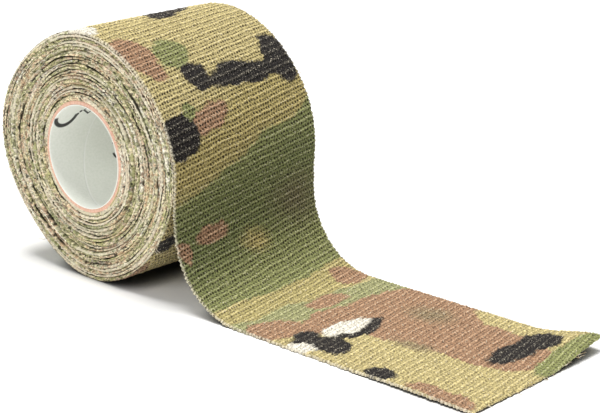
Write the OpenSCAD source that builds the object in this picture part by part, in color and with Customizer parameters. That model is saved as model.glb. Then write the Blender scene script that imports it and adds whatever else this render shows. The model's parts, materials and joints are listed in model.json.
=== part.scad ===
// Roll of self-cling camouflage fabric tape with its free end pulled out.
//
// Frame: the origin is at the middle of the bore. The bore's axis is Y, the free end
// runs towards +X and Z points up. The roll lies on its rim, on the same floor as its tail.
// The strip is one flexible piece. Its wound part is one solid, and the part that bends
// in use is a chain of short links, hinged at the middle of the strip's thickness.

/* [Strip] */
// Width of the strip, which is also the height of the roll
strip_w = 50.8; // [25.4:0.2:101.6]
// Thickness of the strip, pressed as it is in the roll
strip_t = 0.72; // [0.5:0.02:0.72]
// Narrow space left between the ends of two neighbouring links
link_gap = 0.28; // [0.24:0.02:0.4]

/* [Core] */
// Inside diameter of the printed liner, which is the bore of the roll
bore_d = 27.2; // [20:0.2:27.2]
// Thickness of the printed paper liner
liner_t = 0.2; // [0.1:0.05:0.2]
// Wall thickness of the paperboard tube
core_wall = 1.0; // [0.6:0.1:1]
// Thickness of the glue line that holds the start of the strip
glue_t = 0.1; // [0.04:0.02:0.1]
// Angle that the glue line covers on the tube
glue_arc = 40; // [10:10:90]

/* [Roll] */
// Radius of the wound roll at the peel line, before it is pressed out of round
roll_r = 33.6; // [33.6:0.2:38]
// Whole turns of the strip from the core to the peel line
turns = 21; // [12:1:21]
// Angle of the peel line, where the free end leaves the roll, measured from +X
peel_angle = -8; // [-18:1:0]
// Side shift of the outer turns against the core, and the angle it points to
shift = 0.84; // [0:0.02:0.86]
shift_angle = 10; // [0:5:45]
// Extra radius along +X and -X, taken from the top and the bottom
oval = 0.64; // [0:0.02:0.66]
// Size of the three-sided bulge of the roll, and the angle of one of its peaks
three_bulge = 0.46; // [0:0.02:0.48]
three_angle = 45; // [40:1:50]
// Size of the four-sided bulge of the roll, with peaks along X and Z
four_bulge = 0.6; // [0:0.02:0.62]

/* [Free end] */
// Number of links in the outer turn that can be peeled, each of three facets
outer_links = 3; // [1:1:4]
// Radius of the quarter bend between the roll and the floor
bend_r = 21; // [12:0.5:21]
// Number of links in that bend, each of three facets
bend_links = 3; // [2:1:4]
// Length of the part that lies flat on the floor
flat_l = 73.2; // [24:0.6:90]
// Number of links in the flat part
flat_links = 12; // [4:1:15]

/* [Hidden] */

$fn = 96;
overrun = 0.5;                                  // how far a cut runs past a face
facets = 36;                                    // flat facets in one turn
facet_a = 360 / facets;                         // angle of one facet
link_facets = 3;                                // facets in one curved link
first_turn_gap = 0.02;                          // space between the glue and the strip

core_in_r = bore_d / 2 + liner_t;               // inside of the paperboard tube
core_out_r = core_in_r + core_wall;             // outside of the paperboard tube
glue_out_r = core_out_r + glue_t;

// Radii of the strip's mid-line at its start on the core and at the peel line.
first_r = glue_out_r / cos(facet_a / 2) + strip_t / 2 + first_turn_gap;
last_r = roll_r - strip_t / 2;

// Corners of the strip's mid-line are counted from the core outwards.
last_n = turns * facets;                        // corner at the peel line
wound_n = last_n - link_facets * outer_links;   // corner where the wound solid ends

// Change of the outer radius at angle a, which presses the roll out of round.
function out_of_round(a) =
    shift * cos(a - shift_angle)
    + oval * cos(2 * a)
    + three_bulge * cos(3 * (a - three_angle))
    + four_bulge * cos(4 * a);

// A round radius r, pressed out of round: nothing at the core and all of it outside.
function pressed(r, a) = r + out_of_round(a) * (r - first_r) / (last_r - first_r);

function polar(r, a) = r * [cos(a), sin(a)];

// Corner n of the mid-line in the roll. All points in this file are [x, z].
function wound_a(n) = peel_angle + facet_a * (last_n - n);
function wound_point(n) =
    polar(pressed(first_r + (last_r - first_r) * n / last_n, wound_a(n)), wound_a(n));

// The floor touches the lowest corner of the outermost turn.
outer_corners = [for (n = [last_n - facets : last_n]) wound_point(n)];
floor_z = min([for (p = outer_corners) p.y - strip_t / 2]);
flat_z = floor_z + strip_t / 2;                 // mid-line of the flat part
bend_c = [wound_point(last_n).x + bend_r, flat_z + bend_r];  // centre of the quarter bend

// Point i of the bend, from the top at 0 to the floor at the last facet.
bend_facets = link_facets * bend_links;
function bend_point(i) = bend_c + polar(bend_r, 180 + 90 * i / bend_facets);

function unit(v) = v / norm(v);
function left_of(v) = unit([-v.y, v.x]);

// Point i of a mid-line, moved sideways by d, so that every facet keeps its thickness.
function side_point(points, i, d) =
    let (
        end = len(points) - 1,
        before = left_of(points[max(i, 1)] - points[max(i, 1) - 1]),
        after = left_of(points[min(i, end - 1) + 1] - points[min(i, end - 1)])
    )
    points[i] + d * (before + after) / (1 + before * after);

// A mid-line with half of the gap between two links taken off each of its ends.
function with_gaps(points) =
    let (end = len(points) - 1)
    [for (i = [0 : end])
        i == 0 ? points[0] + unit(points[1] - points[0]) * link_gap / 2
        : i == end ? points[end] - unit(points[end] - points[end - 1]) * link_gap / 2
        : points[i]];

// A stretch of the strip along a mid-line, across the whole width of the roll.
module strip(points) {
    end = len(points) - 1;
    outer_side = [for (i = [0 : end]) side_point(points, i, strip_t / 2)];
    inner_side = [for (i = [end : -1 : 0]) side_point(points, i, -strip_t / 2)];
    rotate([90, 0, 0])
        linear_extrude(height = strip_w, center = true)
            polygon(concat(outer_side, inner_side));
}

// A ring around the bore's axis between two radii, from face to face of the roll.
module ring(in_r, out_r) {
    rotate([90, 0, 0])
        difference() {
            cylinder(h = strip_w, r = out_r, center = true);
            cylinder(h = strip_w + 2 * overrun, r = in_r, center = true);
        }
}

// Paperboard tube that the strip is wound on.
module core_tube() {
    color("rosybrown") ring(core_in_r, core_out_r);
}

// White printed paper that lines the tube.
module printed_liner() {
    color("ghostwhite") ring(bore_d / 2, core_in_r);
}

// Line of glue between the tube and the start of the strip, which runs clockwise
// from the peel angle when it is seen with +X to the right and Z up.
module starter_glue_line() {
    color("khaki")
        rotate([90, 0, 0])
            rotate([0, 0, peel_angle - glue_arc])
                translate([0, 0, -strip_w / 2])
                    rotate_extrude(angle = glue_arc)
                        translate([core_out_r, 0])
                            square([glue_t, strip_w]);
}

// All turns that stay on the roll, as one unbroken spiral.
module wound_tape() {
    color("darkolivegreen")
        strip([for (n = [0 : wound_n]) wound_point(n)]);
}

// The outer turn, from the top of the roll to the peel line.
module outer_turn(k) {
    start = wound_n + link_facets * (k - 1);
    color("olivedrab")
        strip(with_gaps([for (n = [start : start + link_facets]) wound_point(n)]));
}

// The straight drop below the peel line.
module drop_link() {
    color("peru") strip(with_gaps([wound_point(last_n), bend_point(0)]));
}

// The quarter bend down to the floor.
module bend(k) {
    start = link_facets * (k - 1);
    color("saddlebrown")
        strip(with_gaps([for (i = [start : start + link_facets]) bend_point(i)]));
}

// The flat end on the floor.
module tail(k) {
    link_l = flat_l / flat_links;
    from = [bend_c.x + link_l * (k - 1), flat_z];
    color("darkkhaki") strip(with_gaps([from, from + [link_l, 0]]));
}

core_tube();
printed_liner();
starter_glue_line();
wound_tape();
for (k = [1 : outer_links]) outer_turn(k);
drop_link();
for (k = [1 : bend_links]) bend(k);
for (k = [1 : flat_links]) tail(k);
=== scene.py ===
"""Looks of a roll of self-cling camouflage fabric tape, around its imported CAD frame.

The strip's mid-line is read from the frame: the CAD solid of the wound tape gives the
turns in the roll, and the hinges give the free end. Every piece of fabric is built along
that line. Lengths are in millimetres until a mesh is made, and a Blender unit is a metre.
"""

import json
import math

import bpy
import numpy as np
from mathutils import Matrix, Vector


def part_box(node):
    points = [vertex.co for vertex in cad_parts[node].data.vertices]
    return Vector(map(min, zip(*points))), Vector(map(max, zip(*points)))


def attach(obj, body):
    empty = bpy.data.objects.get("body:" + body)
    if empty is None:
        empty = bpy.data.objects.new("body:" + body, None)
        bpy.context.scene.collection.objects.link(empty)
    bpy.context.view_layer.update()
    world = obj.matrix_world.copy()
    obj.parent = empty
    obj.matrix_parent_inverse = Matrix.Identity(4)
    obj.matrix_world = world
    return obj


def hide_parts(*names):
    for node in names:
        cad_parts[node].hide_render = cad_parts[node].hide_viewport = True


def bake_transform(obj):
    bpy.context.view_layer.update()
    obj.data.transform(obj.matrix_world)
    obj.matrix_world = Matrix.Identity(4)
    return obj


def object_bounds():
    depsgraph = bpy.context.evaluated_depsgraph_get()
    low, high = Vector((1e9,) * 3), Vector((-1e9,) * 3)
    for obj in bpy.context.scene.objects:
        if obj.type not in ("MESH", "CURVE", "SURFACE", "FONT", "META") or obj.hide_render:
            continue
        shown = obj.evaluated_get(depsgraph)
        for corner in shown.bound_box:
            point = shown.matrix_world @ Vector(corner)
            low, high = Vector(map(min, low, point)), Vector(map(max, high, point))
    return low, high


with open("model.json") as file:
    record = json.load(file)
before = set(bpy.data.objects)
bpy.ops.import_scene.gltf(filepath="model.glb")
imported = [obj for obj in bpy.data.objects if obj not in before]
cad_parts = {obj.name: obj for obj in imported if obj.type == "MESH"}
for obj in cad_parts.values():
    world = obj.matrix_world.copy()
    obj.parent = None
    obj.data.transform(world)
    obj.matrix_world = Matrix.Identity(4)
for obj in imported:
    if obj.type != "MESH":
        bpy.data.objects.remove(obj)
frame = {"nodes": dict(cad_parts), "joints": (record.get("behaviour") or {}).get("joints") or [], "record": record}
cad_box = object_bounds()

MM = 0.001

# Roll, as the CAD winds it.
FACETS = 36                 # corners of the CAD mid-line in one turn
FACET_ANGLE = 360 / FACETS  # degrees
SAME_CORNER = 0.02          # corners closer than this are one corner
CORNER_STEPS = 24           # points of the wound mid-line from one corner to the next
BEND_STEPS = 90             # and from end to end of the bend to the floor
PATH_STEP = 0.2             # spacing of the points along the finished mid-line
PATH_SOFTNESS = 1.6         # reach of the smoothing where the strip leaves the roll

# Knit.
RIB = 2.2                   # from one strong ridge to the next
STITCH = 0.95               # from one hole to the next along a ridge
RIB_TILT = math.radians(8.7)  # turn of the ridges against the strip's width
RIDGE = 0.30                # height of a strong ridge over the valleys
HALF_RIDGE = 0.06           # height of the weaker ridge between two strong ones
RIDGE_SHARPNESS = 2.5       # more makes both kinds of ridge narrower
HOLE = 0.32                 # depth of a hole between stitches
KNIT_BASE = -0.05           # height of the valleys against the strip's even surface
KNIT_GRAIN = 0.02           # height of the finest unevenness
UNDER_RELIEF = 0.35         # relief of the strip's underside, as a share of the top's
WANDER = 0.13               # how far a ridge strays sideways
# Waves that make ridges and stitches stray: size, share of WANDER, seed.
RIDGE_WAVES = ((14, 1.0, 3), (3, 0.3, 4))
STITCH_WAVES = ((9, 1.0, 5), (2.5, 0.6, 8))

# Strip.
TOP_COLUMNS = 190
UNDER_COLUMNS = 90
EDGE_ANGLES = (60, 30, 0, -30, -60)
EDGE_REACH = 0.35           # width of the rounded selvedge
EDGE_FADE = 0.8             # width over which the ribs fade out at the selvedge
LOOP = 1.1                  # from one selvedge loop to the next
LOOP_REACH = 0.20           # how far a loop swings out and in
EDGE_STRAY = 0.16           # how far the selvedge strays besides, and how far in it lies
END_CUT = 0.5               # how much shorter the far edge is than the near one
END_ROUND = 0.5             # length over which the cut end closes
END_RAGGED = 0.12           # how uneven the cut is

# The tail's lift off the floor, and from where to where it grows.
CORNER_LIFT = 3.4           # height of the far corner
CORNER_LIFT_ALONG = (92, 113)
CORNER_LIFT_ACROSS = (2, 27)
EDGE_LIFT = 0.5             # height of the near edge, midway along the tail
EDGE_LIFT_RISE = (70, 95)
EDGE_LIFT_FALL = (125, 100)
EDGE_LIFT_ACROSS = (10, 26)

# Ribbed sheet round the roll.
SHEET_PARTS = 4
SHEET_COLUMNS = 170
SHEET_STEP = 0.25
SHEET_INSET = 0.3           # how far its edges stay inside the roll's end faces
SHEET_EXTRA_CORNERS = 11    # CAD corners it runs on past one turn before the peel line

# Loose ends of yarn.
THREAD_RADIUS = 0.09
THREAD_LENGTHS = (0.9, 2.6)
THREAD_STEPS = 9            # short straight parts in a thread
THREAD_SIDES = 6
THREAD_CURL = 0.22          # how much a thread turns from step to step
THREAD_TAPER = 0.5          # share of its radius that a thread loses towards its tip
ANY_DIRECTION = (0.3, 0.5, 0.8)  # no thread lies along it, so it gives each one a side
RIM_THREADS = 12            # threads at each rim of the roll
RIM_THREAD_SINK = 0.1       # how far inside the end face they are rooted
RIM_THREAD_REACH = (180, 4)  # where on the roll they grow, measured back from the strip
RIM_THREAD_HEADING = (0.9, 0.7)  # away from the roll's axis, and out past its end face
CUT_THREADS = 14            # threads at the cut end
CUT_THREAD_HEADING = (1.0, 0.3, 0.15)  # on along the tail, to either side at random, and up
THREAD_INSET = 1.0          # least distance from them to a selvedge
THREAD_SEED = 91

# Edges of the turns on the two end faces.
LAYER_COLUMNS = (-0.5, -0.38, -0.22, -0.08, 0.08, 0.22, 0.38, 0.5)
LAYER_STEP = 0.28
LAYER_GAP = 0.45            # depth of the groove between two turns
LAYER_WANDER = 0.15         # how far the groove strays towards either turn
CREST_SHAPE = 2.4           # more makes the crest of a turn flatter
TELESCOPE = 0.60            # how far a turn stands proud of its neighbours
LAYER_SINK = 0.05           # how far the turns lie inside the end face
FADE_CORNERS = 20           # CAD corners over which unevenness fades at the strip's ends
LOOP_HEIGHT = 0.16          # how far the stitches' loops stand out from the crest
GRAIN_HEIGHT = 0.15         # and how far single grains of yarn do
LAYER_JITTER = 0.06         # how far a turn's loops stray outward or inward
TUBE_OVERLAP = 0.75         # how far the first turn's loops reach over the tube's rim

# Tube and liner.
LATHE_SEGMENTS = 240
TUBE_STEPS = 24
LINER_STEPS = 80
TUBE_INSET = 0.25           # how far the tube's rim lies inside the end face
TUBE_ROUND = 0.15
LINER_INSET = 0.1
LINER_ROUND = 0.05
SEAM_SPACING = 17.0         # from one turn of the liner's spiral seam to the next
SEAM_CLIMB = 0.095          # how far the seam climbs in one degree
SEAM_START = 4.0

# Colours, linear RGB.
TAN = (0.58, 0.48, 0.215)
GOLD = (0.47, 0.38, 0.14)
OCHRE = (0.50, 0.42, 0.17)
SAGE = (0.37, 0.37, 0.17)
OLIVE = (0.275, 0.292, 0.105)
GREEN = (0.185, 0.21, 0.072)
DUSK = (0.17, 0.15, 0.07)
KHAKI = (0.30, 0.22, 0.12)
BROWN = (0.42, 0.243, 0.138)
BLACK = (0.014, 0.010, 0.009)
WHITE = (0.86, 0.81, 0.69)
CREAM = (0.78, 0.71, 0.55)
# SHADE is painted shade in the grooves between the turns on the end faces, and also the colour of dark specks.
SHADE = (0.02, 0.018, 0.012)
# HOLE_SHADE is painted shade, multiplied into the colour of the holes between stitches.
HOLE_SHADE = (0.15, 0.125, 0.08)
BOARD = ((0.68, 0.38, 0.27), (0.84, 0.56, 0.43))
PAPER = ((0.84, 0.86, 0.79), (0.90, 0.91, 0.85))
PAPER_SEAM = (0.98, 0.98, 0.96)
INK = (0.02, 0.02, 0.02)
GLUE = ((0.60, 0.50, 0.24), (0.72, 0.64, 0.38))

# The strip is stretched on the roll. Between these distances it relaxes, and its holes
# close to this share, and so does the painted shade in them.
RELAXED_FROM, RELAXED_TO = 16, 48
RELAXED_HOLES = 0.58

# Camouflage: colour, middle along the strip, middle across it, half length, half width,
# turn in degrees, width of the soft edge. Later patches cover earlier ones, and a band has
# a very large half width. The print repeats every PRINT_REPEAT along the strip.
PRINT_REPEAT = 276.5
PRINT_START = -159
# Waves that warp the patches' edges: scale of the noise, and how far it moves them.
PRINT_WARPS = ((0.075, 6.0), (0.26, 3.0), (1.1, 2.0))
BAND = 400
CRISP = 0.45
PATCHES = (
    (GOLD, -17, 4, 9, BAND, 20, 5),
    (OLIVE, 18.5, 0, 13, BAND, 0, CRISP),
    (OLIVE, 2.7, 4.3, 11.5, BAND, 22, CRISP),
    (GREEN, 6, 0, 11, 60, 18, 7),
    (DUSK, 8, 18, 5, 7, 0, 6),
    (OCHRE, 36, 0, 5, BAND, 4, CRISP),
    (SAGE, 45.5, 0, 5.5, BAND, -3, CRISP),
    (BROWN, 54, -4, 6, 12, 0, CRISP),
    (BROWN, 66, 12, 17, 19, 0, CRISP),
    (BROWN, 90, 7, 19, 12, 0, CRISP),
    (TAN, 96, 24.5, 20, 6.5, 0, CRISP),
    (KHAKI, 69, 14, 6, 4, 0, 3),
    (KHAKI, 79, -4, 5, 2, 0, 2),
    (BROWN, 44, 4, 3.6, 6.5, 0, CRISP),
    (BROWN, 48, -18.5, 6.5, 7.5, 0, CRISP),
    (BROWN, 36, 20, 4, 5.5, 0, CRISP),
    (BROWN, 103, -23.2, 9.5, 3.4, 0, CRISP),
    (OLIVE, 112, 14, 5, 13, 0, CRISP),
    (BLACK, 61.5, -5.5, 3.8, 9, 0, CRISP),
    (BLACK, 64, -18.5, 6.5, 5.2, 0, CRISP),
    (BLACK, 57, -18.5, 2.8, 5.5, 20, CRISP),
    (WHITE, 59.2, -6.9, 2.9, 7.4, 0, CRISP),
    (WHITE, 60.3, -24, 3.2, 3.0, 0, CRISP),
    (BLACK, 84.5, -22, 4.2, 3, 0, CRISP),
    (BLACK, 99, 9, 3.6, 10, 0, CRISP),
    (BLACK, 100, 18, 5.5, 5, 0, CRISP),
    (BROWN, 11, -13, 2.5, 6, 0, CRISP),
    (BROWN, 13.5, -23.5, 3, 2.5, 0, CRISP),
    (GOLD, 16.5, 1, 3, 4, 0, 2.5),
    (BROWN, -19, -10, 3.2, 7, 20, CRISP),
    (BLACK, -16, -20.5, 5.6, 6.6, 0, CRISP),
    (OLIVE, -21.5, -16, 2.2, 2.4, 0, CRISP),
    (BROWN, -39.5, -20.5, 8.6, 4.6, 8, CRISP),
    (OLIVE, -38.5, -10, 4.6, 5.4, 0, CRISP),
    (BLACK, -30, 21, 7.5, 5, 0, CRISP),
    (BLACK, -28, 8, 3.4, 14, 0, CRISP),
    (BLACK, -30, -8, 4.6, 4, 0, CRISP),
    (BLACK, -66, 13, 17, 5.6, -50, CRISP),
    (WHITE, -65, -24, 12, 6.5, 0, CRISP),
    (OLIVE, -112, -2, 11, BAND, -14, CRISP),
    (GREEN, -115, 4, 8, 60, -14, 6),
    (BROWN, -88, 12, 6, 13, 10, CRISP),
    (BROWN, -94, 20, 8, 8, 0, CRISP),
    (KHAKI, -91, 16, 4, 4, 0, 3),
    (OLIVE, -85, -12, 5, 9, -25, CRISP),
    (BROWN, -93, -20, 5, 7, 30, CRISP),
    (BLACK, -104, -8, 3.2, 11, 12, CRISP),
    (BLACK, -102, -19, 5, 4.5, 0, CRISP),
    (BLACK, -82, 24, 4, 3, 0, CRISP),
    (BROWN, -117, 13, 2.6, 7, 0, CRISP),
    (GOLD, -132, -4, 6, BAND, 16, 4),
    (BROWN, -136, 16, 7, 10, -10, CRISP),
    (BLACK, -134, -12, 7, 3, -35, CRISP),
    (OLIVE, -140, -18, 6, 8, 0, CRISP),
    (SAGE, -148, 0, 5, BAND, 8, CRISP),
    (BROWN, -153, 12, 4, 9, 0, CRISP),
)


# -------------------- the strip's mid-line

joints = {joint["name"]: joint for joint in frame["joints"]}
HINGES = [joint["name"] for joint in frame["joints"]]


def stacked(*grids):
    """Points or pairs, from an array of each coordinate."""
    return np.stack(np.broadcast_arrays(*grids), axis=-1)


def hinge(name):
    """The [x, z] of a hinge."""
    x, _, z = joints[name]["pos_m"]
    return np.array([x, z]) / MM


def smooth_curve(values, at):
    """Values at fractional places, on a curve that passes smoothly through every value."""
    padded = np.concatenate([values[:1], values, values[-1:]])
    place = np.clip(np.floor(at).astype(int), 0, len(values) - 2)
    f = at - place
    before, here, after, beyond = (padded[place + i] for i in range(4))
    square = 2 * before - 5 * here + 4 * after - beyond
    cube = 3 * (here - after) + beyond - before
    return here + 0.5 * f * (after - before + f * (square + f * cube))


def wound_radii(peel_angle):
    """The mid-line's radius at each CAD corner, from the core to the peel line."""
    solid = frame["nodes"]["wound_tape"].data
    corners = np.array([v.co for v in solid.vertices])[:, [0, 2]] / MM
    radius = np.hypot(corners[:, 0], corners[:, 1])
    angle = np.degrees(np.arctan2(corners[:, 1], corners[:, 0])) - peel_angle
    spoke = np.round(angle / FACET_ANGLE).astype(int) % FACETS
    at_corner = {}
    for k in range(FACETS):
        sides = np.sort(radius[spoke == k])
        sides = sides[np.concatenate([[True], np.diff(sides) > SAME_CORNER])]
        for turn, pair in enumerate(sides.reshape(-1, 2)):
            at_corner[-k % FACETS + turn * FACETS] = pair.mean()
    radii = [at_corner[n] for n in range(len(at_corner))]
    # At one angle the radius grows evenly, which gives the part that can be peeled.
    while len(radii) % FACETS != 1:
        radii.append(2 * radii[-FACETS] - radii[-2 * FACETS])
    return np.array(radii)


def softened(line):
    """A line of evenly spaced points, with its kinks eased."""
    reach = int(4 * PATH_SOFTNESS / PATH_STEP)
    weights = np.exp(-0.5 * (np.arange(-reach, reach + 1) * PATH_STEP / PATH_SOFTNESS) ** 2)
    before = 2 * line[0] - line[reach:0:-1]
    after = 2 * line[-1] - line[-2:-reach - 2:-1]
    padded = np.concatenate([before, line, after])
    weights /= weights.sum()
    return stacked(*(np.convolve(axis, weights, "valid") for axis in padded.T))


def floor_bend():
    """The mid-line's bend from the drop to the floor."""
    drop_end, floor_start = hinge("bend_hinge_1"), hinge("bend_hinge_4")
    bend_r = floor_start[0] - drop_end[0]
    turn = np.radians(np.linspace(180, 270, BEND_STEPS + 1))
    rise = bend_r * (1 + np.sin(turn))
    return stacked(floor_start[0] + bend_r * np.cos(turn), floor_start[1] + rise)


class MidLine:
    """The strip's mid-line, by the distance s along it: 0 at the peel line, more to the tail."""

    def __init__(self):
        peel_x, peel_z = hinge("drop_hinge")
        peel_angle = math.degrees(math.atan2(peel_z, peel_x))
        self.radii = wound_radii(peel_angle)
        last_corner = len(self.radii) - 1
        corners = np.linspace(0, last_corner, last_corner * CORNER_STEPS + 1)
        radius = smooth_curve(self.radii, corners)
        angle = np.radians(peel_angle + FACET_ANGLE * (last_corner - corners))
        wound = stacked(radius * np.cos(angle), radius * np.sin(angle))
        last_link = joints[HINGES[-1]]["child"]
        tip = np.array([[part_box(last_link)[1].x / MM, hinge("bend_hinge_4")[1]]])
        points = np.concatenate([wound, floor_bend(), tip])

        steps = np.hypot(*np.diff(points, axis=0).T)
        along = np.concatenate([[0], np.cumsum(steps)])
        even = np.linspace(0, along[-1], int(along[-1] / PATH_STEP))
        self.points = softened(stacked(*(np.interp(even, along, axis) for axis in points.T)))
        heading = np.gradient(self.points, axis=0)
        heading /= np.hypot(*heading.T)[:, None]
        self.outward = stacked(-heading[:, 1], heading[:, 0])
        self.s = even - along[len(wound) - 1]
        self.start = self.s[0]
        self.end = self.s[-1]
        self.corner = np.interp(even, along[:len(wound)], corners)
        first_turns = self.radii[:2 * FACETS + 1]
        pitch = first_turns[FACETS:2 * FACETS + 1] - first_turns[:FACETS + 1]
        self.pitch = np.interp(self.corner % FACETS, np.arange(FACETS + 1), pitch)

    def at(self, s):
        """Points and outward directions, as arrays of x and z, at distances s."""
        x, z = (np.interp(s, self.s, self.points[:, i]) for i in range(2))
        out_x, out_z = (np.interp(s, self.s, self.outward[:, i]) for i in range(2))
        return x, z, out_x, out_z

    def s_of_corner(self, corner):
        return np.interp(corner, self.corner, self.s)

    def s_of_hinge(self, name):
        """Where a hinge of the free end lies, looking only at the last turn and after it."""
        late = self.s > self.s_of_corner(len(self.radii) - FACETS / 2)
        away = np.hypot(*(self.points[late] - hinge(name)).T)
        return self.s[late][away.argmin()]


mid_line = MidLine()
half_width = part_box("wound_tape")[1].y / MM
thin_lo, thin_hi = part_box("tail_1")
half_thick = (thin_hi.z - thin_lo.z) / 2 / MM
floor_z = cad_box[0].z / MM


# -------------------- knit and noise

def sway(a, b, size, seed, waves=9):
    """Smooth random waves about `size` long over coordinates a and b, mostly in -1 to 1."""
    random = np.random.default_rng(seed)
    total = np.zeros(np.broadcast(a, b).shape)
    for _ in range(waves):
        turn = random.uniform(0, math.pi)
        pace = 2 * math.pi / (size * random.uniform(0.7, 1.5))
        phase = random.uniform(0, 2 * math.pi)
        total += np.cos(pace * (a * math.cos(turn) + b * math.sin(turn)) + phase)
    return total / math.sqrt(waves)


def strayed(coordinate, s, y, waves):
    for size, share, seed in waves:
        coordinate = coordinate + share * WANDER * sway(s, y, size, seed)
    return coordinate


def rib_coordinates(s, y):
    """Distance across the ridges and along them, in millimetres, with some wander."""
    across = s * math.cos(RIB_TILT) + y * math.sin(RIB_TILT)
    along = y * math.cos(RIB_TILT) - s * math.sin(RIB_TILT)
    return strayed(across, s, y, RIDGE_WAVES), strayed(along, s, y, STITCH_WAVES)


def knit_height(across, along):
    """Height of the knit over the strip's even surface, in millimetres."""
    turn = 2 * math.pi * across / RIB
    strong = (0.5 + 0.5 * np.cos(turn)) ** RIDGE_SHARPNESS
    weak = (0.5 - 0.5 * np.cos(turn)) ** RIDGE_SHARPNESS
    valley = 0.5 - 0.5 * np.cos(2 * turn)
    hole = valley * (0.5 + 0.5 * np.sin(turn) * np.cos(2 * math.pi * along / STITCH))
    loops = 0.5 + 0.5 * np.cos(2 * math.pi * along / STITCH + math.pi * (strong > weak))
    uneven = 1 + 0.3 * sway(across, along, 2.4, seed=6)
    ridges = (RIDGE * strong + HALF_RIDGE * weak) * (0.75 + 0.25 * loops)
    grain = KNIT_GRAIN * sway(across, along, 1.1, seed=7)
    return KNIT_BASE + (ridges - HOLE * hole) * uneven + grain


def smooth_step(value, low, high):
    """Rises smoothly from 0 to 1 as value goes from low to high."""
    t = np.clip((value - low) / (high - low), 0, 1)
    return t * t * (3 - 2 * t)


# -------------------- mesh code

BAKE_LAYER = "OFBake"       # UV layer for baking, laid out as an even grid


def grid_mesh(name, points, uvs, values=None, ring=False, normals=None, flip=False):
    """An object from a grid of points in millimetres, of shape (rows, columns, 3).

    uvs maps a UV layer's name to a (rows, columns, 2) array, and values maps a point
    attribute's name to a (rows, columns) array. A ring closes across its columns.
    """
    rows, columns = points.shape[:2]
    index = np.arange(rows * columns).reshape(rows, columns)
    right = np.roll(index, -1, axis=1) if ring else index[:, 1:]
    left = index if ring else index[:, :-1]
    quads = np.stack([left[:-1], right[:-1], right[1:], left[1:]], axis=-1).reshape(-1, 4)
    if flip:
        quads = quads[:, ::-1]
    mesh = bpy.data.meshes.new(name)
    mesh.vertices.add(rows * columns)
    mesh.vertices.foreach_set("co", (points.reshape(-1) * MM).astype(np.float32))
    mesh.loops.add(quads.size)
    mesh.loops.foreach_set("vertex_index", quads.reshape(-1).astype(np.int32))
    mesh.polygons.add(len(quads))
    mesh.polygons.foreach_set("loop_start", np.arange(0, quads.size, 4, dtype=np.int32))
    mesh.polygons.foreach_set("use_smooth", np.ones(len(quads), dtype=bool))
    mesh.update(calc_edges=True)

    even_row = np.linspace(0.01, 0.99, rows)[:, None]
    even_column = np.linspace(0.01, 0.99, columns)[None, :]
    spread = stacked(even_row, even_column)
    for layer_name, grid in {**uvs, BAKE_LAYER: spread}.items():
        layer = mesh.uv_layers.new(name=layer_name)
        flat = grid.reshape(-1, 2)[quads.reshape(-1)]
        layer.data.foreach_set("uv", flat.reshape(-1).astype(np.float32))
    for value_name, grid in (values or {}).items():
        attribute = mesh.attributes.new(value_name, "FLOAT", "POINT")
        attribute.data.foreach_set("value", grid.reshape(-1).astype(np.float32))
    if normals is not None:
        mesh.normals_split_custom_set_from_vertices(normals.reshape(-1, 3).tolist())
    piece = bpy.data.objects.new(name, mesh)
    bpy.context.scene.collection.objects.link(piece)
    return piece


def grid_normals(points):
    """Unit normals of a closed ring grid, the same for a whole strip and its pieces."""
    along = np.gradient(points, axis=0)
    around = np.roll(points, -1, axis=1) - np.roll(points, 1, axis=1)
    normals = np.cross(around, along)
    return normals / np.maximum(np.linalg.norm(normals, axis=2, keepdims=True), 1e-9)


def along_s(s, size, seed):
    """Smooth random waves that depend on the distance along the strip alone."""
    return sway(s, s * 0, size, seed)


def dress(piece, material, body):
    """Gives a piece that follows one body its material."""
    piece.data.materials.append(material)
    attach(piece, body)


def strip_section():
    """One section of the strip: y, and which side, from 1 on top to -1 underneath."""
    flat = half_width - EDGE_REACH
    turn = np.radians(EDGE_ANGLES)
    ys = [np.linspace(-flat, flat, TOP_COLUMNS), flat + EDGE_REACH * np.cos(turn),
          np.linspace(flat, -flat, UNDER_COLUMNS), -flat - EDGE_REACH * np.cos(turn)]
    sides = [np.ones(TOP_COLUMNS), np.sin(turn), -np.ones(UNDER_COLUMNS), -np.sin(turn)]
    return np.concatenate(ys), np.concatenate(sides)


def selvedge(s):
    """How far the edge loops push the edge out (negative is in), at distance s."""
    loops = np.cos(2 * math.pi * s / LOOP + 1.5 * along_s(s, 9, seed=11))
    return LOOP_REACH * loops + EDGE_STRAY * along_s(s, 2.6, seed=12) - EDGE_STRAY


def tail_lift(s, y):
    """How far the tail stands off the floor: most at its far corner, a little midway."""
    corner = smooth_step(s, *CORNER_LIFT_ALONG) * smooth_step(y, *CORNER_LIFT_ACROSS)
    midway = smooth_step(s, *EDGE_LIFT_RISE) * smooth_step(s, *EDGE_LIFT_FALL)
    return CORNER_LIFT * corner + EDGE_LIFT * midway * smooth_step(-y, *EDGE_LIFT_ACROSS)


def slanted_cut(row_s, y):
    """Distances along the strip, with the last piece's rows turned to a slanted, ragged cut."""
    last_cut = (mid_line.s_of_hinge(HINGES[-2]) + mid_line.s_of_hinge(HINGES[-1])) / 2
    to_end = np.clip((row_s - last_cut) / (mid_line.end - last_cut), 0, 1)
    ragged = END_RAGGED * sway(y, y * 0, 1.7, seed=13)
    return row_s - to_end * (END_CUT * (y + half_width) / (2 * half_width) - ragged)


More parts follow.
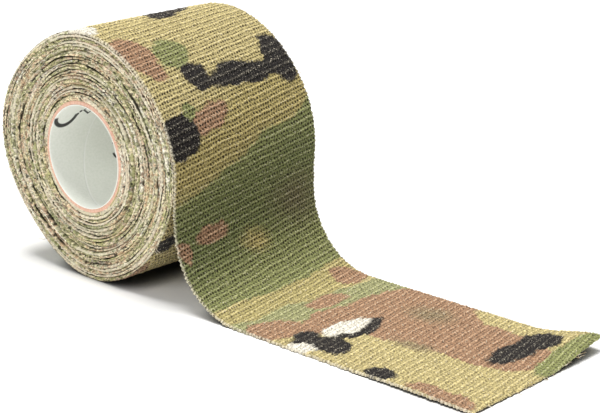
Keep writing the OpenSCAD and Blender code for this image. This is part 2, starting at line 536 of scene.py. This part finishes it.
def free_strip():
    """The grid of the whole free end, with the first few millimetres still on the roll."""
    first = mid_line.s_of_hinge(HINGES[0])
    second = mid_line.s_of_hinge(HINGES[1])
    start = first - (second - first) / 2
    rows = int((mid_line.end - start) / PATH_STEP)
    row_s = np.linspace(start, mid_line.end, rows)[:, None]
    y, side = strip_section()
    y, side = y[None, :], side[None, :]
    s = slanted_cut(row_s, y)
    closing = np.clip((row_s - (mid_line.end - END_ROUND)) / END_ROUND, 0, 1)
    closed = np.sqrt(1 - closing ** 2)

    edge = smooth_step(np.abs(y), half_width - EDGE_FADE, half_width)
    across, along = rib_coordinates(s, y)
    relief = knit_height(across, along) * (1 - edge)
    offset = side * half_thick * closed
    offset = offset + np.where(side >= 1, relief, 0)
    offset = offset - np.where(side <= -1, UNDER_RELIEF * relief, 0)
    offset = offset * closed
    wide_y = y + np.sign(y) * selvedge(s) * edge

    x, z, out_x, out_z = mid_line.at(s)
    points = stacked(x + offset * out_x, wide_y, z + offset * out_z + tail_lift(s, y))
    uvs = {"strip": stacked(s, y), "ribs": stacked(across, along)}
    values = {
        "edge": np.broadcast_to(edge, s.shape),
        "under": np.broadcast_to(smooth_step(-side, -0.2, 0.9), s.shape),
    }
    return row_s[:, 0], points, uvs, values


def build_free_strip(fabric):
    """One piece across each hinge of the free end, from mid-link to mid-link."""
    row_s, points, uvs, values = free_strip()
    normals = grid_normals(points)
    at = [mid_line.s_of_hinge(name) for name in HINGES]
    cuts = [row_s[0]] + [(a + b) / 2 for a, b in zip(at, at[1:])] + [row_s[-1]]
    row_cuts = [int(np.abs(row_s - s).argmin()) for s in cuts]
    for number, name in enumerate(HINGES):
        joint = joints[name]
        rows = slice(row_cuts[number], row_cuts[number + 1] + 1)
        piece = grid_mesh(
            "strip_" + joint["child"],
            points[rows],
            {key: grid[rows] for key, grid in uvs.items()},
            {key: grid[rows] for key, grid in values.items()},
            ring=True,
            normals=normals[rows],
        )
        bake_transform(piece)
        piece.data.materials.append(fabric)
        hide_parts(*frame["record"]["behaviour"]["bodies"][joint["child"]])
    return row_s[0]


def build_outer_sheet(fabric, end_s):
    """The ribbed outside of the roll, for the last turn that stays on it."""
    peel_corner = len(mid_line.radii) - 1
    begin_s = mid_line.s_of_corner(peel_corner - FACETS - SHEET_EXTRA_CORNERS)
    edge_y = half_width - SHEET_INSET
    y = np.linspace(-edge_y, edge_y, SHEET_COLUMNS)[None, :]
    cuts = np.linspace(begin_s, end_s, SHEET_PARTS + 1)
    for number in range(SHEET_PARTS):
        rows = int((cuts[number + 1] - cuts[number]) / SHEET_STEP)
        s = np.linspace(cuts[number], cuts[number + 1], rows)[:, None]
        across, along = rib_coordinates(s, y)
        edge = smooth_step(np.abs(y), half_width - EDGE_FADE, edge_y)
        x, z, out_x, out_z = mid_line.at(s)
        offset = half_thick + knit_height(across, along) * (1 - edge)
        piece = grid_mesh(
            f"roll_outer_sheet_{number + 1}",
            stacked(x + offset * out_x, y, z + offset * out_z),
            {"strip": stacked(s, y), "ribs": stacked(across, along)},
            {"edge": np.broadcast_to(edge, across.shape), "under": across * 0},
        )
        dress(piece, fabric, "roll")
        if number == 0:
            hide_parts("wound_tape")


class EndFace:
    """One end face: where the selvedges of its turns lie, at CAD corner numbers n.

    side is -1 for the near end face and 1 for the far one.
    """

    def __init__(self, side, last_corner):
        self.side = side
        self.last_corner = last_corner

    def waves(self, n, size, seed):
        return along_s(n, size, seed + self.side)

    def telescope(self, n):
        """How far a turn stands proud of the end face."""
        turns = self.waves(n, 90, 25) + self.waves(n, 30, 21)
        settled = smooth_step(self.last_corner - n, 4, FADE_CORNERS)
        return TELESCOPE * 0.5 * turns * settled - LAYER_SINK

    def groove(self, n):
        """How deep the groove outside a turn is."""
        deep = 1 + 0.9 * self.waves(n, 17, 31) + 0.4 * self.waves(n, 2, 35)
        return LAYER_GAP * np.maximum(deep, 0.1)

    def wander(self, n):
        """How far the groove outside a turn strays outward."""
        to_last_turn = self.last_corner - FACETS - n
        free = smooth_step(n, 0, FADE_CORNERS) * smooth_step(to_last_turn, 0, FADE_CORNERS)
        return LAYER_WANDER * free * (self.waves(n, 12, 71) + self.waves(n, 3, 81))

    def loops(self, s, q, pitch):
        """How far a stitch or a grain of yarn stands out from a turn's crest."""
        phase = 2 * math.pi * s / STITCH + 2 * self.waves(s, 7, 41)
        stitches = 0.5 + 0.5 * np.cos(phase)
        grains = sway(s, q * pitch, 0.9, 51 + self.side)
        grains = grains + 0.7 * sway(s, q * pitch * 2, 2.2, 55 + self.side)
        return LOOP_HEIGHT * (stitches - 0.6) + GRAIN_HEIGHT * grains


def layer_offset(face, corner, s, q, pitch, share):
    """How far outward of the mid-line the columns q of the end face's ribbon lie."""
    outer, inner = face.wander(corner), face.wander(corner - FACETS)
    offset = q * pitch + (0.5 + q) * outer + (0.5 - q) * inner
    offset = offset + LAYER_JITTER * face.waves(s, 2.6, 61) * (1 - share)
    # The first turn reaches in to the tube, and a little over its rim.
    x, z, _, _ = mid_line.at(s)
    to_tube = np.hypot(x, z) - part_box("core_tube")[1].x / MM + TUBE_OVERLAP
    return np.where((q < 0) & (corner < FACETS), 2 * q * to_tube, offset)


def build_layer_edges(material, end_s, name, side):
    """The selvedges of all turns on one end face, as one long rounded ribbon."""
    rows = int((end_s - mid_line.start) / LAYER_STEP)
    s = np.linspace(mid_line.start, end_s, rows)[:, None]
    corner = np.interp(s, mid_line.s, mid_line.corner)
    pitch = np.interp(s, mid_line.s, mid_line.pitch)
    q = np.array(LAYER_COLUMNS)[None, :]
    face = EndFace(side, corner[-1])

    crest = face.telescope(corner)
    outer_crest, inner_crest = face.telescope(corner + FACETS), face.telescope(corner - FACETS)
    outer_groove = (outer_crest + crest) / 2 - face.groove(corner)
    inner_groove = (inner_crest + crest) / 2 - face.groove(corner - FACETS)
    groove_y = np.where(q > 0, outer_groove, inner_groove)
    share = (2 * np.abs(q)) ** CREST_SHAPE
    out_y = half_width + crest + (groove_y - crest) * share
    out_y = out_y + face.loops(s, q, pitch) * (1 - share)
    offset = layer_offset(face, corner, s, q, pitch, share)
    x, z, out_x, out_z = mid_line.at(s)
    piece = grid_mesh(
        name,
        stacked(x + offset * out_x, side * out_y, z + offset * out_z),
        {"strip": stacked(s, np.full_like(q, side * half_width)), "ribs": stacked(s, offset)},
        {"groove": np.broadcast_to(share, out_y.shape)},
        flip=side > 0,
    )
    dress(piece, material, "roll")


def lathe(name, profile, material, node):
    """A ring turned about Y from a closed profile of (radius, y) points, riding on the roll."""
    turn = np.linspace(0, 2 * math.pi, LATHE_SEGMENTS + 1)[:, None]
    radius, y = np.array(profile).T
    radius, y = radius[None, :], y[None, :]
    points = stacked(radius * np.cos(turn), y, radius * np.sin(turn))
    piece = grid_mesh(name, points, {"wrap": stacked(np.degrees(turn), y)}, ring=True)
    dress(piece, material, "roll")
    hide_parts(node)


def tube_profile(inner, outer, end_y, round_off, steps):
    """A tube's section with rounded rims, and so many steps from rim to rim."""
    run = np.linspace(-end_y + round_off, end_y - round_off, steps)
    outside = [(outer, y) for y in run]
    inside = [(inner, y) for y in run[::-1]]
    rim = [(outer - round_off, end_y), (inner + round_off, end_y)]
    other_rim = [(inner + round_off, -end_y), (outer - round_off, -end_y)]
    return outside + rim + inside + other_rim


def thread_rings(place, heading, random):
    """The rings of corners of one thread, which curls at random from a place and a heading."""
    turn = np.linspace(0, 2 * math.pi, THREAD_SIDES, endpoint=False)
    step = random.uniform(*THREAD_LENGTHS) / THREAD_STEPS
    rings = []
    for number in range(THREAD_STEPS + 1):
        heading = heading / np.linalg.norm(heading)
        side = np.cross(heading, ANY_DIRECTION)
        side /= np.linalg.norm(side)
        radius = THREAD_RADIUS * (1 - THREAD_TAPER * number / THREAD_STEPS)
        round_it = np.outer(np.cos(turn), side) + np.outer(np.sin(turn), np.cross(side, heading))
        rings.append(place + radius * round_it)
        heading = heading + random.normal(0, THREAD_CURL, 3)
        place = place + heading * step
        place[2] = max(place[2], floor_z + THREAD_RADIUS)
    return rings


def build_threads(name, body, roots, yarn, seed):
    """Loose ends of yarn, which grow from roots: pairs of a place and a heading."""
    random = np.random.default_rng(seed)
    corners, faces = [], []
    for place, heading in roots:
        for number, ring in enumerate(thread_rings(np.array(place), np.array(heading), random)):
            first = len(corners)
            corners.extend(tuple(corner * MM) for corner in ring)
            for k in range(THREAD_SIDES if number else 0):
                a, b = first + k, first + (k + 1) % THREAD_SIDES
                faces.append((a - THREAD_SIDES, b - THREAD_SIDES, b, a))
        faces.append(tuple(range(first, first + THREAD_SIDES)))
    mesh = bpy.data.meshes.new(name)
    mesh.from_pydata(corners, [], faces)
    threads = bpy.data.objects.new(name, mesh)
    bpy.context.scene.collection.objects.link(threads)
    dress(threads, yarn, body)


def build_loose_ends(yarn, end_s):
    """Threads at both rims of the roll's outer turn, and at the cut end of the tail."""
    random = np.random.default_rng(THREAD_SEED)
    furthest, nearest = RIM_THREAD_REACH
    outward, past_rim = RIM_THREAD_HEADING
    for name, side in (("near_rim_threads", -1), ("far_rim_threads", 1)):
        roots = []
        for s in random.uniform(end_s - furthest, end_s - nearest, RIM_THREADS):
            x, z, out_x, out_z = mid_line.at(s)
            place = (x, side * (half_width - RIM_THREAD_SINK), z)
            roots.append((place, (outward * out_x, past_rim * side, outward * out_z)))
        build_threads(name, "roll", roots, yarn, THREAD_SEED + 1 + side)
    roots = []
    onward, spread, upward = CUT_THREAD_HEADING
    reach = half_width - THREAD_INSET
    s = mid_line.end - END_CUT
    x, z, _, _ = mid_line.at(s)
    for y in random.uniform(-reach, reach, CUT_THREADS):
        place = (x, y, z + tail_lift(s, y))
        roots.append((place, (onward, spread * random.normal(), upward)))
    build_threads("cut_end_threads", joints[HINGES[-1]]["child"], roots, yarn, THREAD_SEED + 4)


# -------------------- materials

class Tree:
    """Adds shader nodes to a material. Each method returns the new node's output."""

    def __init__(self, name):
        material = bpy.data.materials.new(name)
        material.use_nodes = True
        self.material = material
        self.nodes = material.node_tree.nodes
        self.links = material.node_tree.links
        self.nodes.clear()

    def plug(self, socket, value):
        if isinstance(value, bpy.types.NodeSocket):
            self.links.new(value, socket)
        elif isinstance(value, tuple) and socket.type == "RGBA":
            socket.default_value = (*value, 1.0)
        else:
            socket.default_value = value

    def add(self, kind, inputs, output=0, **settings):
        node = self.nodes.new(kind)
        for name, value in settings.items():
            setattr(node, name, value)
        for key, value in inputs.items():
            self.plug(node.inputs[key], value)
        return node.outputs[output]

    def uv(self, layer):
        return self.add("ShaderNodeUVMap", {}, uv_map=layer)

    def value(self, name):
        return self.add("ShaderNodeAttribute", {}, output="Fac", attribute_name=name)

    def split(self, vector):
        node = self.nodes.new("ShaderNodeSeparateXYZ")
        self.plug(node.inputs[0], vector)
        return node.outputs[0], node.outputs[1]

    def join(self, x, y, z=0.0):
        return self.add("ShaderNodeCombineXYZ", {0: x, 1: y, 2: z})

    def math(self, operation, a, b=0.0, c=0.0):
        return self.add("ShaderNodeMath", {0: a, 1: b, 2: c}, operation=operation)

    def times(self, a, b):
        return self.math("MULTIPLY", a, b)

    def times_add(self, a, b, c):
        return self.math("MULTIPLY_ADD", a, b, c)

    def scale(self, vector, factor):
        return self.add("ShaderNodeVectorMath", {0: vector, 1: factor}, operation="MULTIPLY")

    def noise(self, vector, scale, detail=2.0, roughness=0.5, output="Fac"):
        inputs = {"Vector": vector, "Scale": scale, "Detail": detail, "Roughness": roughness}
        return self.add("ShaderNodeTexNoise", inputs, output=output)

    def ramp(self, value, low, high, start=0.0, end=1.0):
        """Runs smoothly from start to end as value goes from low to high."""
        inputs = {"Value": value, 1: low, 2: high, 3: start, 4: end}
        return self.add("ShaderNodeMapRange", inputs, interpolation_type="SMOOTHSTEP")

    def mix(self, factor, a, b, blend="MIX"):
        node = self.nodes.new("ShaderNodeMix")
        node.data_type = "RGBA"
        node.blend_type = blend
        node.clamp_result = True
        self.plug(node.inputs["Factor"], factor)
        self.plug(node.inputs[6], a)
        self.plug(node.inputs[7], b)
        return node.outputs[2]

    def dim(self, color, light):
        """A colour times a plain brightness."""
        return self.mix(1.0, color, self.join(light, light, light), blend="MULTIPLY")

    def finish(self, color, roughness, height, distance, **extra):
        """Ends the material with a bump of `height`, which is in millimetres."""
        bump = self.add(
            "ShaderNodeBump", {"Height": height, "Distance": distance * MM, "Strength": 1.0}
        )
        inputs = {"Base Color": color, "Roughness": roughness, "Normal": bump, **extra}
        shader = self.add("ShaderNodeBsdfPrincipled", inputs)
        output = self.nodes.new("ShaderNodeOutputMaterial")
        self.links.new(shader, output.inputs["Surface"])
        return self.material


def camouflage(tree):
    """The printed colour at the strip's coordinates, from soft patches with warped edges."""
    place = tree.uv("strip")
    warp = place
    for scale, amount in PRINT_WARPS:
        noise = tree.noise(place, scale, output="Color")
        centred = tree.add(
            "ShaderNodeVectorMath", {0: noise, 1: (0.5, 0.5, 0.5)}, operation="SUBTRACT"
        )
        pushed = tree.scale(centred, (amount, amount, 0.0))
        warp = tree.add("ShaderNodeVectorMath", {0: warp, 1: pushed}, operation="ADD")
    along, across = tree.split(warp)
    along = tree.math("WRAP", along, PRINT_START + PRINT_REPEAT, PRINT_START)
    place = tree.join(along, across)
    color = tree.mix(0.0, TAN, TAN)
    for patch_color, middle_s, middle_y, half_s, half_y, turn, soft_edge in PATCHES:
        local = tree.add(
            "ShaderNodeMapping",
            {
                "Vector": place,
                "Location": (middle_s, middle_y, 0),
                "Rotation": (0, 0, math.radians(turn)),
                "Scale": (half_s, half_y, 1),
            },
            vector_type="TEXTURE",
        )
        away = tree.add("ShaderNodeVectorMath", {0: local}, output="Value", operation="LENGTH")
        soft = soft_edge / min(half_s, half_y)
        inside = tree.ramp(away, 1 - soft, 1 + soft, 1.0, 0.0)
        color = tree.mix(inside, color, patch_color)
    return color


def knit_waves(tree, across, along):
    """The knit's pattern: how much of a ridge, a strong one, a weak one and a hole there is."""
    turn = tree.times(across, 2 * math.pi / RIB)
    ridge = tree.math("COSINE", turn)
    half_ridge = tree.math("COSINE", tree.times(turn, 2.0))
    valley = tree.times_add(half_ridge, -0.5, 0.5)
    stitch = tree.math("COSINE", tree.times(along, 2 * math.pi / STITCH))
    stagger = tree.times(tree.math("SINE", turn), stitch)
    hole = tree.times(valley, tree.times_add(stagger, 0.5, 0.5))
    strong = tree.math("POWER", tree.times_add(ridge, 0.5, 0.5), RIDGE_SHARPNESS)
    weak = tree.math("POWER", tree.times_add(ridge, -0.5, 0.5), RIDGE_SHARPNESS)
    return ridge, strong, weak, hole


def yarn_color(tree, printed, yarn, specks, ridge, strong, weak):
    """The print on uneven yarn, with painted highlight on the ridges and painted shade between them, where cream
    yarn and pale specks show too.
    """
    # Painted highlight and shade: the print is lighter on the strong ridges and darker in the valleys.
    relief = tree.times_add(weak, 0.16, 0.70)
    relief = tree.times_add(strong, 0.42, relief)
    color = tree.dim(printed, tree.times(tree.ramp(yarn, 0.3, 0.72, 0.45, 1.62), relief))
    # Cream on the strong ridges, partly cream yarn and partly painted highlight.
    cream_yarn_and_highlight = tree.times(strong, tree.ramp(yarn, 0.44, 0.64))
    color = tree.mix(tree.times(cream_yarn_and_highlight, 0.16), color, CREAM)
    on_ridge = tree.ramp(ridge, -0.8, 0.8, 0.3, 0.8)
    pale = tree.times(tree.ramp(specks, 0.62, 0.69), on_ridge)
    return tree.mix(pale, color, CREAM)


def painted_hole_shade(tree, printed, ribs, place, yarn, hole):
    """How much painted shade the holes get: ragged, in clumps, and hardly any in unprinted white."""
    clumps = tree.noise(ribs, 0.55, detail=2.0)
    ragged_hole = tree.times_add(tree.math("SUBTRACT", 0.5, yarn), 0.9, hole)
    clumped = tree.ramp(clumps, 0.35, 0.6, 0.4, 1.0)
    deep = tree.times(tree.ramp(ragged_hole, 0.12, 0.5), clumped)
    stretch = tree.ramp(place, RELAXED_FROM, RELAXED_TO, 1.0, RELAXED_HOLES)
    deep = tree.times(deep, stretch)
    _, printed_green = tree.split(printed)
    return tree.times(deep, tree.ramp(printed_green, 0.6, 0.9, 1.0, 0.15))


def fabric_material():
    """Ribbed knit with printed camouflage, painted shade in the holes, painted highlight on the ridges, pale
    specks and a cream selvedge.
    """
    tree = Tree("camo_fabric")
    printed = camouflage(tree)
    ribs = tree.uv("ribs")
    ridge, strong, weak, hole = knit_waves(tree, *tree.split(ribs))
    yarn = tree.noise(tree.scale(ribs, (2.6, 1.5, 1.0)), 1.0, detail=3.0, roughness=0.65)
    specks = tree.noise(tree.scale(ribs, (2.2, 1.6, 1.0)), 1.35, detail=1.0)
    place, _ = tree.split(tree.uv("strip"))

    color = yarn_color(tree, printed, yarn, specks, ridge, strong, weak)
    # Painted shade: the colour darkened for the holes, also used for dark specks at random.
    shaded = tree.mix(1.0, color, HOLE_SHADE, blend="MULTIPLY")
    color = tree.mix(painted_hole_shade(tree, printed, ribs, place, yarn, hole), color, shaded)
    color = tree.mix(tree.ramp(specks, 0.37, 0.29, 0.0, 0.6), color, shaded)
    color = tree.mix(tree.value("under"), color, tree.mix(0.5, color, CREAM))
    loops = tree.math("COSINE", tree.times(place, 2 * math.pi / LOOP))
    looped = tree.times_add(loops, 0.05, yarn)
    fuzz = tree.times(tree.value("edge"), tree.ramp(looped, 0.40, 0.6, 0.15, 0.85))
    color = tree.mix(fuzz, color, CREAM)

    height = tree.times_add(yarn, 0.34, tree.times(hole, -0.26))
    height = tree.times_add(strong, 0.10, height)
    roughness = tree.ramp(yarn, 0.2, 0.8, 0.78, 0.98)
    extra = {"Sheen Weight": 0.08, "Sheen Roughness": 0.6, "Specular IOR Level": 0.12}
    return tree.finish(color, roughness, height, 1.0, **extra)


def edge_material():
    """Selvedges of the turns: granular loops of cream yarn with specks of the print, painted highlight on the
    crests and painted shade in the grooves.
    """
    tree = Tree("layer_edges")
    printed = camouflage(tree)
    ribs = tree.uv("ribs")
    grains = tree.noise(tree.scale(ribs, (1.4, 2.0, 1.0)), 1.0, detail=3.0, roughness=0.6)
    tint = tree.noise(tree.scale(ribs, (0.8, 1.5, 1.0)), 0.9, detail=2.0, output="Color")
    hue, shade = tree.split(tint)
    place = tree.uv("strip")
    green_arc, pale_arc = tree.split(tree.noise(place, 0.05, output="Color"))
    dark_arc = tree.noise(place, 0.11, detail=1.0)
    groove = tree.value("groove")
    color = tree.mix(tree.ramp(pale_arc, 0.35, 0.65, 0.5, 0.92), printed, CREAM)
    greener = tree.math("ADD", hue, tree.ramp(green_arc, 0.4, 0.62, -0.09, 0.10))
    color = tree.mix(tree.ramp(greener, 0.51, 0.62, 0.0, 0.7), color, OLIVE)
    color = tree.mix(tree.ramp(greener, 0.46, 0.37, 0.0, 0.6), color, BROWN)
    color = tree.dim(color, tree.ramp(grains, 0.34, 0.66, 0.5, 1.5))
    color = tree.mix(tree.ramp(shade, 0.42, 0.32, 0.0, 0.85), color, SHADE)
    # Pale arcs on the crests, partly cream yarn and partly painted highlight, and painted shade in the grooves as
    # dark arcs, broken along their length.
    pale = tree.times(tree.ramp(groove, 0.5, 0.1), tree.ramp(pale_arc, 0.53, 0.6, 0.0, 0.7))
    color = tree.mix(pale, color, CREAM)
    broken = tree.ramp(dark_arc, 0.54, 0.60, 0.0, 0.95)
    groove_shade = tree.times(tree.ramp(groove, 0.12, 0.6), broken)
    color = tree.mix(groove_shade, color, SHADE)
    # A weaker painted shade along every groove.
    color = tree.mix(tree.ramp(groove, 0.5, 1.0, 0.0, 0.5), color, SHADE)
    height = tree.times(grains, 0.2)
    return tree.finish(color, 0.95, height, 1.0, **{"Specular IOR Level": 0.1})


def yarn_material():
    """Loose cream yarn with darker and greener stretches."""
    tree = Tree("loose_yarn")
    place = tree.add("ShaderNodeTexCoord", {}, output="Object")
    blotches = tree.noise(place, 700.0, detail=2.0)
    fibres = tree.noise(place, 6000.0)
    color = tree.mix(tree.ramp(blotches, 0.4, 0.6), CREAM, KHAKI)
    return tree.finish(color, tree.ramp(fibres, 0.3, 0.7, 0.8, 0.95), fibres, 0.03)


def paperboard_material():
    """Salmon-coloured board with fine fibres and faint spiral seams."""
    tree = Tree("paperboard")
    wrap = tree.uv("wrap")
    fibres = tree.noise(tree.scale(wrap, (1.7, 3.0, 1.0)), 1.0, detail=4.0)
    color = tree.mix(tree.ramp(fibres, 0.3, 0.7), *BOARD)
    return tree.finish(color, 0.85, tree.times(fibres, 0.05), 1.0)


def liner_material():
    """White coated paper, with a spiral seam and generic dark printed shapes."""
    tree = Tree("liner_paper")
    wrap = tree.uv("wrap")
    angle, y = tree.split(wrap)
    fibres = tree.noise(tree.scale(wrap, (0.4, 1.2, 1.0)), 1.0, detail=3.0)
    color = tree.mix(tree.ramp(fibres, 0.3, 0.7), *PAPER)
    # The seam climbs evenly round the bore.
    climb = tree.times_add(angle, SEAM_CLIMB, tree.math("ADD", y, SEAM_START))
    turns = tree.math("WRAP", climb, SEAM_SPACING, 0.0)
    off_seam = tree.math("ABSOLUTE", tree.math("SUBTRACT", turns, SEAM_SPACING / 2))
    seam = tree.ramp(off_seam, 0.35, 0.15)
    color = tree.mix(tree.times(seam, 0.5), color, PAPER_SEAM)
    color = tree.mix(printed_marks(tree, angle, y), color, INK)
    height = tree.times_add(seam, -0.06, tree.times(fibres, 0.015))
    return tree.finish(color, 0.45, height, 1.0)


# Generic marks on the liner: arcs, diamonds and dots, with no letters. Each has its kind,
# the angle round the bore in degrees, y, half width and half height in millimetres.
MARKS = (
    ("arc", 142, -21.3, 4.0, 4.0),
    ("dot", 143, -17.6, 0.5, 0.5),
    ("dot", 139, -16.9, 0.5, 0.5),
    ("diamond", 138, -13.8, 2.2, 2.6),
    ("arc", 204, -2.5, 2.4, 2.4),
    ("dot", 193, -3.6, 0.5, 0.5),
    ("dot", 190, -2.4, 0.5, 0.5),
    ("arc", 20, 12, 3.6, 3.6),
    ("diamond", 42, 16, 2.2, 2.8),
    ("arc", 262, 8, 3.0, 3.0),
    ("diamond", 285, 4, 2.2, 2.8),
)


def printed_marks(tree, angle, y):
    """How much ink there is at an angle and a y inside the bore."""
    liner_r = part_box("printed_liner")[1].x / MM
    ink = 0.0
    for kind, mark_angle, mark_y, half_w, half_h in MARKS:
        turn = tree.math("SUBTRACT", angle, float(mark_angle))
        arc = tree.times(turn, math.radians(liner_r) / half_w)
        rise = tree.times(tree.math("SUBTRACT", y, mark_y), 1 / half_h)
        if kind == "diamond":
            away = tree.math("ADD", tree.math("ABSOLUTE", arc), tree.math("ABSOLUTE", rise))
        else:
            squares = tree.times_add(arc, arc, tree.times(rise, rise))
            away = tree.math("SQRT", squares)
        mark = tree.ramp(away, 0.95, 1.05, 1.0, 0.0)
        if kind != "dot":
            mark = tree.times(mark, tree.ramp(away, 0.66, 0.74))
        if kind == "arc":
            mark = tree.times(mark, tree.ramp(arc, -0.1, 0.1))
        ink = tree.math("MAXIMUM", ink, mark)
    return ink


def glue_material():
    """Dried yellowish glue."""
    tree = Tree("glue")
    place = tree.add("ShaderNodeTexCoord", {}, output="Object")
    lumps = tree.noise(place, 900.0, detail=2.0)
    color = tree.mix(tree.ramp(lumps, 0.3, 0.7), *GLUE)
    return tree.finish(color, tree.ramp(lumps, 0.3, 0.7, 0.25, 0.5), lumps, 0.05)


CONTACT_SHADE_REACH = 7.0   # how far from an object the painted contact shadow on the floor reaches


def floor_material():
    """Plain and pale, with a painted contact shadow right beside whatever rests on it."""
    tree = Tree("floor")
    place = tree.add("ShaderNodeTexCoord", {}, output="Object")
    open_sky = tree.add(
        "ShaderNodeAmbientOcclusion", {"Distance": CONTACT_SHADE_REACH * MM}, output="AO"
    )
    pale = tree.ramp(tree.noise(place, 3.0), 0.3, 0.7, 0.93, 0.95)
    # Painted contact shadow: the floor's colour darkens where little of the sky is open.
    shade = tree.times(pale, tree.ramp(open_sky, 0.1, 0.8, 0.1, 1.0))
    return tree.finish(tree.join(shade, shade, shade), 0.9, pale, 0.01)


# -------------------- stage

FLOOR_REACH = 6.0           # metres from the middle to each side


def build_floor():
    """A square of pale floor under the roll and the tail."""
    low, far = floor_z * MM, FLOOR_REACH
    corners = [(-far, -far, low), (far, -far, low), (far, far, low), (-far, far, low)]
    mesh = bpy.data.meshes.new("floor")
    mesh.from_pydata(corners, [], [(0, 1, 2, 3)])
    mesh.materials.append(floor_material())
    floor = bpy.data.objects.new("floor", mesh)
    bpy.context.scene.collection.objects.link(floor)


# Lights: energy, softness in degrees, colour, and the direction they come from.
SUNS = {
    "overhead": (3.2, 26, (1.0, 0.99, 0.97), (-0.08, 0.02, 0.99)),
    "front_fill": (1.05, 36, (1.0, 1.0, 1.0), (0.24, -0.78, 0.58)),
}
WORLD_LIGHT = 0.35
BACKDROP = 1.0              # brightness of the world as the camera sees it


def build_lights():
    """A pale world for even light, an overhead sun that models the ribs, and a weak fill."""
    world = bpy.data.worlds.new("studio")
    bpy.context.scene.world = world
    world.use_nodes = True
    background = world.node_tree.nodes["Background"]
    background.inputs["Color"].default_value = (0.97, 0.985, 1.0, 1.0)
    seen = world.node_tree.nodes.new("ShaderNodeLightPath").outputs["Is Camera Ray"]
    strength = world.node_tree.nodes.new("ShaderNodeMapRange")
    strength.inputs["To Min"].default_value = WORLD_LIGHT
    strength.inputs["To Max"].default_value = BACKDROP
    world.node_tree.links.new(seen, strength.inputs["Value"])
    world.node_tree.links.new(strength.outputs[0], background.inputs["Strength"])
    for name, (energy, softness, color, from_direction) in SUNS.items():
        sun = bpy.data.lights.new(name, "SUN")
        sun.energy = energy
        sun.angle = math.radians(softness)
        sun.color = color
        lamp = bpy.data.objects.new(name, sun)
        lamp.rotation_euler = Vector(from_direction).to_track_quat("Z", "Y").to_euler()
        bpy.context.scene.collection.objects.link(lamp)


# Camera, at the photograph's viewing angle.
CAMERA_AZIMUTH = math.radians(43.607)
CAMERA_ELEVATION = math.radians(17.674)
CAMERA_ROLL = math.radians(-0.228)
CAMERA_PLACE = (338.026, -298.811, 123.809)
LENS = 104.05
SENSOR = 36


def build_camera():
    """Looks at the object from the photograph's direction, with its long lens."""
    az, el, roll = CAMERA_AZIMUTH, CAMERA_ELEVATION, CAMERA_ROLL
    back = Vector((math.sin(az) * math.cos(el), -math.cos(az) * math.cos(el), math.sin(el)))
    level = Vector((math.cos(az), math.sin(az), 0))
    above = back.cross(level)
    right = math.cos(roll) * level + math.sin(roll) * above
    up = math.cos(roll) * above - math.sin(roll) * level
    data = bpy.data.cameras.new("camera")
    data.lens = LENS
    data.sensor_width = SENSOR
    data.clip_start = 0.01
    camera = bpy.data.objects.new("camera", data)
    turn = Matrix((right, up, back)).transposed().to_4x4()
    camera.matrix_world = Matrix.Translation(Vector(CAMERA_PLACE) * MM) @ turn
    bpy.context.scene.collection.objects.link(camera)
    bpy.context.scene.camera = camera


# -------------------- the scene

def build_object():
    """Every piece that stands for a CAD node, from the fabric in to the bore."""
    fabric = fabric_material()
    edges = edge_material()
    strip_start = build_free_strip(fabric)
    build_outer_sheet(fabric, strip_start)
    build_layer_edges(edges, strip_start, "near_layer_edges", -1)
    build_layer_edges(edges, strip_start, "far_layer_edges", 1)
    build_loose_ends(yarn_material(), strip_start)

    liner_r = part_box("printed_liner")[1].x / MM
    tube_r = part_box("core_tube")[1].x / MM
    tube = tube_profile(liner_r, tube_r, half_width - TUBE_INSET, TUBE_ROUND, TUBE_STEPS)
    lathe("core_tube_board", tube, paperboard_material(), "core_tube")
    liner = tube_profile(bore_radius(), liner_r, half_width - LINER_INSET, LINER_ROUND, LINER_STEPS)
    lathe("bore_liner_paper", liner, liner_material(), "printed_liner")
    glue = frame["nodes"]["starter_glue_line"]
    glue.data.materials.clear()
    glue.data.materials.append(glue_material())


def bore_radius():
    """The bore's radius, from the liner's own corners."""
    corners = np.array([v.co for v in frame["nodes"]["printed_liner"].data.vertices]) / MM
    return np.hypot(corners[:, 0], corners[:, 2]).min()


build_object()
build_floor()
build_lights()
build_camera()
bpy.context.scene.view_settings.view_transform = "Standard"
